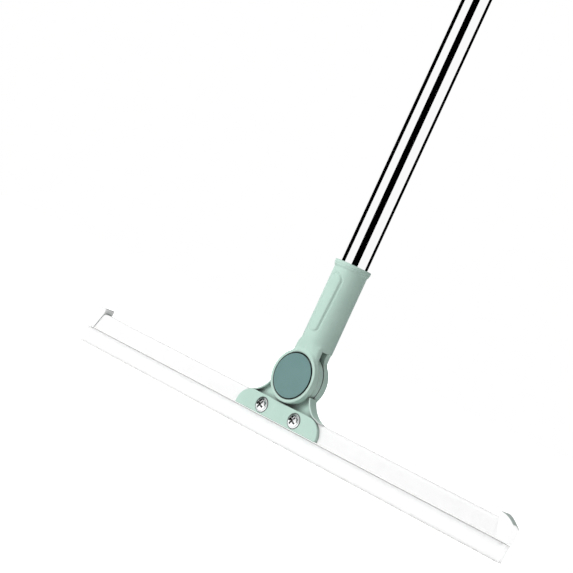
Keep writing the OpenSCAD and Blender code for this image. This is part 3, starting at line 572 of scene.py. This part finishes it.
def collar_field(x, y, z):
    # Towards the fork the collar's front draws back until it is level with the ring, and gets squarer
    front_r = -ring_y + (collar_r + ring_y) * rise(z, 18.5, 31.0)
    squared = 2 + 1.4 * (1 - rise(z, 19.0, 30.0)) * (y < 0)
    rho = np.abs(x) ** squared + np.abs(y * np.where(y < 0, collar_r / front_r, 1)) ** squared
    rho = rho ** (1 / squared)
    disc = np.hypot(x, z)
    pad_edge = np.hypot(x, z - np.clip(z, pad_low + pad_half, pad_high - pad_half))
    pad_edge = pad_edge - pad_half + pad_taper * (pad_high - pad_half - z)
    pad = pad_proud * (1 - rise(pad_edge, -0.5, 0.5))
    pad = pad - pad_groove * np.exp(-((pad_edge - pad_groove_out) / pad_groove_w) ** 2)
    pad = pad * rise(z, pad_low - 1, pad_low - 1 + pad_fade)
    outside = collar_r + (lip_r - collar_r) * rise(z, lip_start, collar_top - lip_run)
    outside = outside + np.where(y < 0, pad, 0)
    outside = outside - lip_groove * np.exp(-((z - collar_top + lip_groove_drop) / lip_groove_w) ** 2)
    sleeve = trim(rho - outside, z - collar_top, 0.7)
    sleeve = np.maximum(trim(sleeve, -np.maximum(z - step_z, slot_front - y), 0.5), -z)
    ring = trim(trim(disc - cheek_r, ring_y - y, ring_edge), y - slot_front, 0.3)
    webs = trim(cheek_outline(x, z, front_neck), slab(y, web_front, slot_front), 0.3)
    back = trim(cheek_outline(x, z, back_neck), slab(y, slot_back, cheek_back), 0.5)
    boss = trim(disc - boss_r, slab(y, cheek_back - 1, boss_end), 0.6)
    seat = trim(np.hypot(x, z - pole_screw_z) - screw_seat_r, slab(y, 11.5, screw_seat_y), 0.2)
    body = fuse(fuse(sleeve, fuse(ring, webs, 0.6), 2.5), fuse(back, boss, 0.8), 0.8)
    body = fuse(body, seat, 0.4)
    slot = np.maximum(np.maximum(z - step_z, disc - slot_r), slab(y, slot_front, slot_back))
    body = np.maximum(body, -slot)
    # A lip on the back cheek, lower towards the top, keeps grit off the friction ring
    grit_front = slot_back - grit_lip_h * (1 - 0.85 * rise(z, -2, 18))
    grit_lip = trim(slab(disc, cheek_r - grit_lip_w, cheek_r), slab(y, grit_front, slot_back + 0.6), 0.1)
    body = np.minimum(body, grit_lip)
    bevel = bevel_r + bevel_run / bevel_depth * np.maximum(ring_y + bevel_depth - y, 0)
    body = trim(body, -np.maximum(disc - bevel, y - recess_floor), 0.3)
    body = trim(body, -np.maximum(slab(disc, moat_in, bevel_r), y - recess_floor - moat_depth), 0.2)
    body = trim(body, -np.maximum(disc - boss_bore, washer_seat - y), 0.3)
    body = trim(body, bolt_hole_r - disc, 0.1)
    return trim(body, -np.maximum(rho - socket_r, socket_floor - z), 0.4)


collar_reach = 14.2
collar = made("swivel_collar_moulding", *surface_of(collar_field,
    (-cheek_r, -collar_reach, -cheek_r), (cheek_r, collar_reach, collar_top), 0.42), mint)
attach(collar, "pole")
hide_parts("swivel_collar")

# Pole screw. A zinc-plated pan-head screw at the collar's back, driven through the tube's
# wall into the foot plug.
cross_w, pole_screw_head_r, pole_screw_top_y = 1.4, 3.5, 15.3


def pan_head(across, along, head_r, head_h, crown, shank_r, end, cross_len, cross_depth, edge=0.3):
    """Distance to a pan-head screw: across is the distance pair from its axis, along runs from
    the head's top at 0 to the shank's end."""
    u, v = across
    r = np.hypot(u, v)
    crown_r = (head_r ** 2 + crown ** 2) / (2 * crown)
    dome = np.sqrt(r ** 2 + (along - crown_r) ** 2) - crown_r
    head = trim(trim(r - head_r, dome, edge), along - head_h, 0.25)
    shank = trim(r - shank_r, slab(along, head_h - 1, end), 0.2)
    slots = np.minimum(np.maximum(np.abs(u) - cross_w / 2, np.abs(v) - cross_len / 2),
        np.maximum(np.abs(v) - cross_w / 2, np.abs(u) - cross_len / 2))
    return trim(fuse(head, shank, 0.15), -np.maximum(slots, along - cross_depth), 0.12)


def pole_screw_field(x, y, z):
    return pan_head((x, z - pole_screw_z), pole_screw_top_y - y, pole_screw_head_r, head_h=2.2, crown=1.2,
        shank_r=pole_screw_r, end=pole_screw_top_y - screw_tip_y, cross_len=4.6, cross_depth=1.6)


# Zinc-plated steel, bright. Barrel plating leaves a fine cloudy gloss and small dull specks, and painted
# shade
# # darkens corners narrower than 2 mm, such as the cross and the foot of the head, to near black.
plated, shader = principled("bright_zinc_plated_steel")
shader.inputs["Metallic"].default_value = 1.0
place = add(plated, "ShaderNodeTexCoord").outputs["Object"]
recess_shade = add(plated, "ShaderNodeAmbientOcclusion", {"Distance": 2.0 * mm}, samples=16)
recess_shade = add(plated, "ShaderNodeMapRange",
    {"Value": recess_shade.outputs["AO"], "From Min": 0.4, "From Max": 0.9, "To Min": 0.9, "To Max": 0.0})
tint = add(plated, "ShaderNodeMix", {0: recess_shade.outputs[0], 6: linear("#e8e9ea"), 7: linear("#1c1d1d")},
    data_type="RGBA")
plated.node_tree.links.new(tint.outputs[2], shader.inputs["Base Color"])
specks = add(plated, "ShaderNodeTexNoise", {"Vector": place, "Scale": 900.0, "Detail": 3.0})
rough = add(plated, "ShaderNodeMapRange",
    {"Value": specks.outputs["Fac"], "From Min": 0.3, "From Max": 0.75, "To Min": 0.05, "To Max": 0.14})
plated.node_tree.links.new(rough.outputs[0], shader.inputs["Roughness"])
bump = add(plated, "ShaderNodeBump",
    {"Height": specks.outputs["Fac"], "Strength": 0.05, "Distance": 0.1 * mm})
plated.node_tree.links.new(bump.outputs[0], shader.inputs["Normal"])

pole_screw = made("pole_screw_plated", *surface_of(pole_screw_field,
    (-pole_screw_head_r, screw_tip_y, pole_screw_z - pole_screw_head_r),
    (pole_screw_head_r, pole_screw_top_y, pole_screw_z + pole_screw_head_r), 0.18), plated)
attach(pole_screw, "pole")
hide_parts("pole_screw")

# Disc cap. A slightly domed teal disc with a short skirt, snapped into the front cheek's
# recess, where it hides the bolt's head and leaves a thin dark gap all round.
disc_r, disc_rim_y, disc_t, disc_dome, skirt_out, skirt_in = 16.7, -11.4, 1.3, 0.5, 16.1, 14.6
dome_steps = 12
dome_r = (disc_r ** 2 + disc_dome ** 2) / (2 * disc_dome)
outline = []
for i in range(dome_steps + 1):
    r = (disc_r - 0.35) * i / dome_steps
    outline.append((r, disc_rim_y - disc_dome + dome_r - math.sqrt(dome_r ** 2 - r ** 2)))
back = disc_rim_y + disc_t
outline += [(disc_r - 0.1, disc_rim_y + 0.1), (disc_r, disc_rim_y + 0.3), (disc_r, disc_rim_y + 0.5),
    (skirt_out, back), (skirt_out, recess_floor), (skirt_in, recess_floor), (skirt_in, back), (0, back)]


def along_y(vertices, faces):
    """Turns what was made round Z so that its heights run along Y."""
    return [(x, z, y) for x, y, z in vertices], [tuple(reversed(f)) for f in faces]


teal = moulded_plastic("moulded_teal_polypropylene", "#6e8f8d", "#6b8c8a", "#86a3a1", "#202423", 0.45)
disc = made("disc_cap_moulding", *along_y(*turned(outline, sides=128)), teal)
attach(disc, "pole")
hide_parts("disc_cap")

# Pivot bolt and lock nut. A hex bolt holds cheeks and tongue together; its thin head sits under
# the disc, and the round end of the lock nut shows in the boss behind.
bolt_r, bolt_af, bolt_corner_r, bolt_head_front, bolt_head_back, bolt_end = 3.0, 10.0, 5.8, -9.4, -7.6, 12.4
nut_front, nut_hex_end, nut_back, nut_chamfer_r, nut_end_r = 6.4, 9.9, 11.4, 5.55, 4.6


def hexagon(x, z, across):
    """Distance to a hexagon of the given width across its flats."""
    return np.maximum(np.abs(z), np.abs(x) * math.cos(math.radians(30)) + np.abs(z) / 2) - across / 2


def bolt_field(x, y, z):
    head = trim(hexagon(x, z, bolt_af), slab(y, bolt_head_front, bolt_head_back), 0.2)
    shank = trim(np.hypot(x, z) - bolt_r, slab(y, bolt_head_back - 1, bolt_end), 0.4)
    return fuse(head, shank, 0.1)


def nut_field(x, y, z):
    body = trim(hexagon(x, z, bolt_af), slab(y, nut_front, nut_hex_end), 0.3)
    body = trim(body, np.hypot(x, z) - nut_chamfer_r, 0.2)
    end = trim(np.hypot(x, z) - nut_end_r, slab(y, nut_hex_end - 1, nut_back), 0.6)
    return trim(fuse(body, end, 0.2), bolt_hole_r - np.hypot(x, z), 0.2)


bolt = made("pivot_bolt_plated", *surface_of(bolt_field, (-bolt_corner_r, bolt_head_front, -bolt_af / 2),
    (bolt_corner_r, bolt_end, bolt_af / 2), 0.25), plated)
nut = made("lock_nut_plated", *surface_of(nut_field, (-bolt_corner_r, nut_front, -bolt_af / 2),
    (bolt_corner_r, nut_back, bolt_af / 2), 0.2), plated)
for piece, node in ((bolt, "pivot_bolt"), (nut, "lock_nut")):
    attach(piece, "pole")
    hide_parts(node)

# Washers. A flat plated washer and a disc spring of spring steel under the nut, and a nylon
# friction ring between the tongue and the back cheek.
washer_r, washer_t, spring_t, spring_cone, friction_r = 6.27, 1.0, 0.7, 0.6, 12.0
tongue_front, tongue_back = -5.3, -0.6
washer_bore = bolt_r + 0.08

# Spring steel, oiled and dark, as it comes from hardening
spring_steel, shader = principled("oiled_spring_steel")
shader.inputs["Metallic"].default_value = 1.0
place = add(spring_steel, "ShaderNodeTexCoord").outputs["Object"]
scale = add(spring_steel, "ShaderNodeTexNoise", {"Vector": place, "Scale": 500.0, "Detail": 4.0})
tint = add(spring_steel, "ShaderNodeMix",
    {0: scale.outputs["Fac"], 6: linear("#8b8c8e"), 7: linear("#6d6c6b")}, data_type="RGBA")
spring_steel.node_tree.links.new(tint.outputs[2], shader.inputs["Base Color"])
rough = add(spring_steel, "ShaderNodeMapRange",
    {"Value": scale.outputs["Fac"], "To Min": 0.25, "To Max": 0.45})
spring_steel.node_tree.links.new(rough.outputs[0], shader.inputs["Roughness"])

spring_seat = washer_seat + washer_t
for name, outline, edge, material, slot in (
    ("thrust_washer", [(washer_bore, washer_seat), (washer_r, washer_seat), (washer_r, spring_seat),
        (washer_bore, spring_seat)], 0.15, plated, "plated_steel"),
    ("disc_spring", [(washer_bore, spring_seat + spring_cone), (washer_r, spring_seat),
        (washer_r, spring_seat + spring_t), (washer_bore, spring_seat + spring_cone + spring_t)], 0.15,
        spring_steel, "spring_steel"),
    ("friction_ring", [(washer_bore, tongue_back), (friction_r, tongue_back), (friction_r, slot_back),
        (washer_bore, slot_back)], 0.25, nylon, "nylon"),
):
    ring = made(name + "_part", *along_y(*turned(rounded(outline, edge, 4))), material)
    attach(ring, "pole")
    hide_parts(name)

# Bracket. One polypropylene moulding: the round tongue between the cheeks, the flared foot with
# its two pockets over the rail, and behind the rail a gusset and a leg for the screws.
foot_half, flare_r, flare_z, foot_tip_x, rail_top, rim_top = 41.0, 22.3, -0.2, 40.0, -22.5, -8.8
foot_front, foot_back, pocket_back, pocket_low, rim_w, room_r = -6.8, 1.3, -3.8, -21.4, 1.3, 20.2
gusset_inset, leg_half, leg_back, leg_corner, seam_z, tongue_r = 3.7, 27.0, 6.0, 5.0, -35.8, 19.8
rail_front, rail_back = -5.0, 3.0
plate_half, plate_top, plate_low, plate_corner, plate_fit = 41.9, -21.1, -35.4, 12.9, 0.15
screw_x, screw_z, screw_hole_r = 16.9, -28.7, 2.15
out_of_reach = 9.0


def plate_outline(x, z, grow):
    """Distance to the clamp plate's outline, which has large upper corners."""
    edge = trim(np.abs(x) - plate_half, z - plate_top, plate_corner)
    return np.maximum(edge - grow, plate_low - z)


def bracket_field(x, y, z):
    disc = np.hypot(x, z)
    flare = np.hypot(np.abs(x) - foot_half, z - flare_z)
    ends = np.maximum(np.abs(x) - foot_tip_x, slab(z, rail_top, rim_top))
    foot = trim(np.maximum(ends, flare_r - flare), slab(y, foot_front, foot_back), 0.3)
    gusset = np.maximum(np.abs(x) - leg_half, slab(z, rail_top - 1, rim_top))
    gusset = trim(trim(gusset, flare_r + gusset_inset - flare, 0.4), slab(y, foot_back - 1, leg_back), 0.6)
    gusset = np.maximum(gusset, np.where(z < rail_top, rail_back - y, -out_of_reach))
    body = fuse(foot, gusset, 0.6)
    body = trim(body, -np.maximum(disc - room_r, y - tongue_front), 0.1)
    body = trim(body, -np.maximum(disc - room_r, tongue_back - y), 0.1)
    tongue = trim(disc - tongue_r, slab(y, tongue_front, tongue_back), 0.15)
    fill = np.maximum(np.maximum(disc - room_r - 1, ends), slab(y, tongue_front, tongue_back))
    fill = np.maximum(fill, flare_r - flare)
    body = fuse(np.minimum(body, fill), tongue, 0.3)
    pocket = np.maximum(flare_r + rim_w - flare, np.maximum(pocket_low - z, tongue_r - disc))
    pocket = trim(pocket, y - pocket_back, 0.3)
    body = trim(body, -pocket, 0.35)
    leg = trim(np.abs(x) - leg_half, seam_z - z, leg_corner)
    leg = trim(np.maximum(leg, z - rail_top - 0.5), slab(y, rail_back, leg_back), 0.6)
    body = fuse(body, leg, 0.5)
    body = np.maximum(body, np.minimum(rail_top - z, rail_back - y))
    body = trim(body, -np.maximum(plate_outline(x, z, plate_fit), y - rail_front), 0.15)
    screw_holes = np.hypot(np.abs(x) - screw_x, z - screw_z) - screw_hole_r
    holes = np.minimum(np.where(y > rail_back - 0.5, screw_holes, out_of_reach), disc - bolt_hole_r)
    return trim(body, -holes, 0.2)


bracket = made("swivel_bracket_moulding", *surface_of(bracket_field, (-foot_tip_x, foot_front, seam_z),
    (foot_tip_x, leg_back, cheek_r), 0.36), mint)
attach(bracket, "head")
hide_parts("swivel_bracket")

# Clamp plate. A flat polypropylene plate with large upper corners that presses the rail against
# the bracket's leg. Each screw head sits in a shallow round sink.
plate_front, plate_skin, plate_undercut, lip_cover = -8.6, -7.5, 0.2, 1.6
sink_r, sink_floor = 5.85, -8.0


def plate_field(x, y, z):
    """The plate's front skin reaches down over the seam. Behind it the body is set in a little."""
    low_end = plate_low - lip_cover - z
    side = plate_outline(x, np.maximum(z, plate_low), 0)
    skin = trim(trim(side, slab(y, plate_front, plate_skin), 0.4), low_end, 0.8)
    core = np.maximum(side + plate_undercut, low_end + 0.1)
    core = np.maximum(core, slab(y, plate_skin - 0.5, rail_front))
    plate = fuse(skin, core, 0.2)
    screw = np.hypot(np.abs(x) - screw_x, z - screw_z)
    plate = trim(plate, -np.maximum(screw - sink_r, y - sink_floor), 0.15)
    return trim(plate, screw_hole_r - screw, 0.1)


# A copy of the mint with a fainter painted highlight on its edges and a duller scuff colour
plate_mint = moulded_plastic("moulded_mint_plate", "#bfd9ce", "#bbd6cb", "#d8e8e1", "#6f7472", 0.42, 0.1)
plate = made("clamp_plate_moulding", *surface_of(plate_field,
    (-plate_half, plate_front, plate_low - lip_cover), (plate_half, rail_front, plate_top), 0.36),
    plate_mint)
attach(plate, "head")
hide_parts("clamp_plate")

# Clamp screws and nuts. Two bright plated pan-head screws with a cross recess run through plate,
# rail and leg into hex nuts.
nut_af, nut_h, nut_corner_r, nut_hole_r = 7.0, 3.2, 4.1, 2.05
head_front, head_r, flange_r, screw_flange_t, screw_end = -11.0, 4.5, 5.4, 0.9, 10.4
cross_turn = math.radians(28)
cross_cos, cross_sin = math.cos(cross_turn), math.sin(cross_turn)


def clamp_screw_field(x, y, z):
    turned_x, turned_z = x * cross_cos - z * cross_sin, x * cross_sin + z * cross_cos
    head = pan_head((turned_x, turned_z), y - head_front, head_r, head_h=2.6, crown=1.0, shank_r=2.0,
        end=screw_end - head_front, cross_len=6.4, cross_depth=2.0, edge=0.9)
    flange = trim(np.hypot(x, z) - flange_r, slab(y, sink_floor - screw_flange_t, sink_floor), 0.35)
    return fuse(head, np.maximum(flange, np.where(np.hypot(x, z) < head_r - 0.5, 1.0, -out_of_reach)), 0.2)


def clamp_nut_field(x, y, z):
    body = trim(hexagon(x, z, nut_af), slab(y, leg_back, leg_back + nut_h), 0.2)
    body = trim(body, np.hypot(x, z) + np.abs(y - leg_back - nut_h / 2) * 0.6 - 4.6, 0.1)
    return trim(body, nut_hole_r - np.hypot(x, z), 0.2)


def both_sides(vertices, faces):
    """The same body at both clamp screws' places."""
    first = vertices + (-screw_x, 0, screw_z)
    second = vertices + (screw_x, 0, screw_z)
    return np.concatenate((first, second)), np.concatenate((faces, faces + len(vertices)))


screws = made("clamp_screws_plated", *both_sides(*surface_of(clamp_screw_field,
    (-flange_r, head_front, -flange_r), (flange_r, screw_end, flange_r), 0.17)), plated)
nuts = made("clamp_nuts_plated", *both_sides(*surface_of(clamp_nut_field,
    (-nut_corner_r, leg_back, -nut_af / 2), (nut_corner_r, leg_back + nut_h, nut_af / 2), 0.2)), plated)
for piece, node in ((screws, "clamp_screws"), (nuts, "clamp_nuts")):
    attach(piece, "head")
    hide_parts(node)

# Blade rail. A white polypropylene extrusion with round upper edges and a keyhole channel
# along its foot that holds the blade's bead. The saw leaves its ends square, under the caps.
rail_half, rail_corner, foot_edge = 217.0, 2.0, 0.35
bead_z, bead_r, neck_t_half, bead_fit = -33.3, 1.7, 1.0, 0.1
rail_mid = (rail_front + rail_back) / 2


def drawn(outline, half_len, edge=0.25):
    """Vertices and faces of a closed outline of (y, z) drawn along X, with a small bevel at both ends."""
    count = len(outline)
    points = [Vector(p) for p in outline]
    area = sum(a.x * b.y - b.x * a.y for a, b in zip(points, points[1:] + points[:1]))
    if area < 0:
        points.reverse()
    inner = []
    for before, here, after in zip(points[-1:] + points[:-1], points, points[1:] + points[:1]):
        along = (after - before).normalized()
        inner.append(here + Vector((-along.y, along.x)) * edge)
    rows = [(-half_len, inner), (-half_len + edge, points), (half_len - edge, points), (half_len, inner)]
    vertices = [(x, p.x, p.y) for x, row in rows for p in row]
    faces = []
    for k in range(len(rows) - 1):
        for i in range(count):
            a, b = k * count + i, k * count + (i + 1) % count
            faces.append((a, b, b + count, a + count))
    faces.append(tuple(reversed(range(count))))
    faces.append(tuple(range(3 * count, 4 * count)))
    return vertices, faces


def arc(centre, radius, start, end, steps):
    """Points on a circle between two angles in degrees."""
    angles = [math.radians(start + (end - start) * i / steps) for i in range(steps + 1)]
    return [(centre[0] + radius * math.cos(a), centre[1] + radius * math.sin(a)) for a in angles]


channel_half, channel_r = neck_t_half + bead_fit, bead_r + bead_fit
mouth_angle = math.degrees(math.asin(channel_half / channel_r))
outline = arc((rail_front + foot_edge, seam_z + foot_edge), foot_edge, 270, 180, 4)
outline += arc((rail_front + rail_corner, rail_top - rail_corner), rail_corner, 180, 90, 8)
outline += arc((rail_back - rail_corner, rail_top - rail_corner), rail_corner, 90, 0, 8)
outline += arc((rail_back - foot_edge, seam_z + foot_edge), foot_edge, 0, -90, 4)
outline += [(rail_mid + channel_half, seam_z)]
outline += arc((rail_mid, bead_z), channel_r, -90 + mouth_angle, 270 - mouth_angle, 24)
outline += [(rail_mid - channel_half, seam_z)]

# White polypropylene, extruded. A little light goes into it, which softens its shading.
white = moulded_plastic("extruded_white_polypropylene", "#fcfcfc", "#f9f9f9", "#ffffff", "#dcdddb", 0.4)
shader = white.node_tree.nodes["Principled BSDF"]
shader.inputs["Subsurface Weight"].default_value = 1.0
shader.inputs["Subsurface Radius"].default_value = (1.0, 1.0, 1.0)
shader.inputs["Subsurface Scale"].default_value = 1.5 * mm
rail = made("blade_rail_extrusion", *drawn(outline, rail_half), white)
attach(rail, "head")
white_head.objects.link(rail)
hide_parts("blade_rail")

# Blade. Soft white rubber, moulded as one strip: a bead that slides into the rail, and a lip that
# tapers to the wiping edge. It is cut to the head's length with a knife.
blade_half, lip_top, lip_low, lip_front, lip_root_t, lip_tip_t = 220.0, -36.6, -49.5, -4.7, 6.4, 4.6

# White rubber, soft and matt. A little light goes into it; chalky bloom and faint water marks
# run along the strip, and the wiping edge is a trace greyer.
rubber, shader = principled("soft_white_rubber")
place = add(rubber, "ShaderNodeTexCoord").outputs["Object"]
along = add(rubber, "ShaderNodeMapping", {"Vector": place, "Scale": (0.08, 1.0, 1.0)})
marks = add(rubber, "ShaderNodeTexNoise", {"Vector": along.outputs[0], "Scale": 160.0, "Detail": 3.0})
tint = add(rubber, "ShaderNodeMix", {0: marks.outputs["Fac"], 6: linear("#fbfbfb"), 7: linear("#f6f6f6")},
    data_type="RGBA")
height = add(rubber, "ShaderNodeSeparateXYZ", {"Vector": place})
edge_wear = add(rubber, "ShaderNodeMapRange", {"Value": height.outputs["Z"],
    "From Min": pivot.z + (lip_low + 1.5) * mm, "From Max": pivot.z + lip_low * mm, "To Max": 0.08})
tint = add(rubber, "ShaderNodeMix", {0: edge_wear.outputs[0], 6: tint.outputs[2], 7: linear("#e9e9e7")},
    data_type="RGBA")
rubber.node_tree.links.new(tint.outputs[2], shader.inputs["Base Color"])
bloom = add(rubber, "ShaderNodeTexNoise", {"Vector": place, "Scale": 700.0, "Detail": 3.0})
rough = add(rubber, "ShaderNodeMapRange", {"Value": bloom.outputs["Fac"], "To Min": 0.5, "To Max": 0.68})
rubber.node_tree.links.new(rough.outputs[0], shader.inputs["Roughness"])
bump = add(rubber, "ShaderNodeBump",
    {"Height": bloom.outputs["Fac"], "Strength": 0.05, "Distance": 0.15 * mm})
rubber.node_tree.links.new(bump.outputs[0], shader.inputs["Normal"])
shader.inputs["IOR"].default_value = 1.52
shader.inputs["Subsurface Weight"].default_value = 1.0
shader.inputs["Subsurface Radius"].default_value = (1.0, 1.0, 1.0)
shader.inputs["Subsurface Scale"].default_value = 5.0 * mm

lip_outline = rounded([(lip_front, lip_top), (lip_front, lip_low), (lip_front + lip_tip_t, lip_low),
    (lip_front + lip_root_t, lip_top)], 0.15, 4)
mouth_angle = math.degrees(math.asin(neck_t_half / bead_r))
bead_outline = [(rail_mid + neck_t_half, lip_top - 1)]
bead_outline += arc((rail_mid, bead_z), bead_r, -90 + mouth_angle, 270 - mouth_angle, 20)
bead_outline += [(rail_mid - neck_t_half, lip_top - 1)]
blade = made("wiping_blade", *drawn(lip_outline, blade_half, 0.15), rubber)
bead = made("blade_bead", *drawn(bead_outline, rail_half, 0.15), rubber)
union = blade.modifiers.new("bead", "BOOLEAN")
union.operation = "UNION"
union.solver = "EXACT"
union.object = bead
bpy.context.view_layer.update()
joined = bpy.data.meshes.new_from_object(blade.evaluated_get(bpy.context.evaluated_depsgraph_get()))
smooth(joined)
blade.modifiers.clear()
blade.data = joined
bpy.data.objects.remove(bead)
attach(blade, "head")
white_head.objects.link(blade)
right_end.objects.link(blade)
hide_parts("blade")

# End caps. Two white polypropylene mouldings pushed over the rail's ends. The top of each slopes
# down and out along an arc, and its inner edge leans out towards the seam.
head_half, cap_inner, cap_low_inner, cap_rise, cap_arc_r = 220.0, 207.0, 212.0, 4.4, 20.0
cap_front, cap_back, cap_fit, cap_taper = -6.0, 4.0, 0.1, 0.3


def end_cap_field(x, y, z):
    arc_z = rail_top + cap_rise - cap_arc_r
    run, fall = cap_low_inner - cap_inner, rail_top - seam_z
    lean = -((x - cap_inner) * fall + (z - rail_top) * run) / math.hypot(run, fall)
    crown = cap_arc_r - cap_taper * np.maximum(y + 2, 0) * rise(x, cap_inner, head_half - 3)
    outline = trim(np.maximum(cap_inner - x, lean), np.hypot(x - cap_inner, z - arc_z) - crown, 0.5)
    outline = trim(np.maximum(outline, seam_z - z), x - head_half, 0.8)
    shell = trim(outline, slab(y, cap_front, cap_back), 0.7)
    inside = trim(slab(y, rail_front, rail_back) - cap_fit, z - rail_top - cap_fit, rail_corner)
    inside = np.maximum(inside, x - rail_half - cap_fit)
    return trim(shell, -inside, 0.12)


# White polypropylene, moulded and opaque. Painted greenish shade darkens it where it meets the rail, and
# # what faces up is mixed towards a greenish grey.
cap_white = moulded_plastic("moulded_white_polypropylene", "#f9f9f9", "#f7f7f7", "#ffffff", "#5d7a6d", 0.4)
shader = cap_white.node_tree.nodes["Principled BSDF"]
without_upward_grey = shader.inputs["Base Color"].links[0].from_socket
# What faces up is mixed towards a greenish grey, up to 80 %
facing = add(cap_white, "ShaderNodeTexCoord")
facing = add(cap_white, "ShaderNodeSeparateXYZ", {"Vector": facing.outputs["Normal"]})
upward_grey = add(cap_white, "ShaderNodeMapRange",
    {"Value": facing.outputs["Z"], "From Min": 0.3, "From Max": 0.6, "To Max": 0.8})
tint = add(cap_white, "ShaderNodeMix", {0: upward_grey.outputs[0], 6: without_upward_grey, 7: linear("#7f918a")},
    data_type="RGBA")
cap_white.node_tree.links.new(tint.outputs[2], shader.inputs["Base Color"])
cap_vertices, cap_faces = surface_of(end_cap_field, (cap_inner, cap_front, seam_z),
    (head_half, cap_back, rail_top + cap_rise), 0.26)
for name, side in (("left", -1), ("right", 1)):
    cap = made("end_cap_" + name + "_moulding", cap_vertices * (side, 1, 1), cap_faces[:, ::side],
        cap_white)
    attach(cap, "head")
    white_head.objects.link(cap)
    if name == "right":
        right_end.objects.link(cap)
    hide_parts("end_cap_" + name)

# The white head's pieces are taken off the key
for piece in white_head.objects:
    all_but_head.objects.link(piece)
for member in all_but_head.collection_objects:
    member.light_linking.link_state = "EXCLUDE"
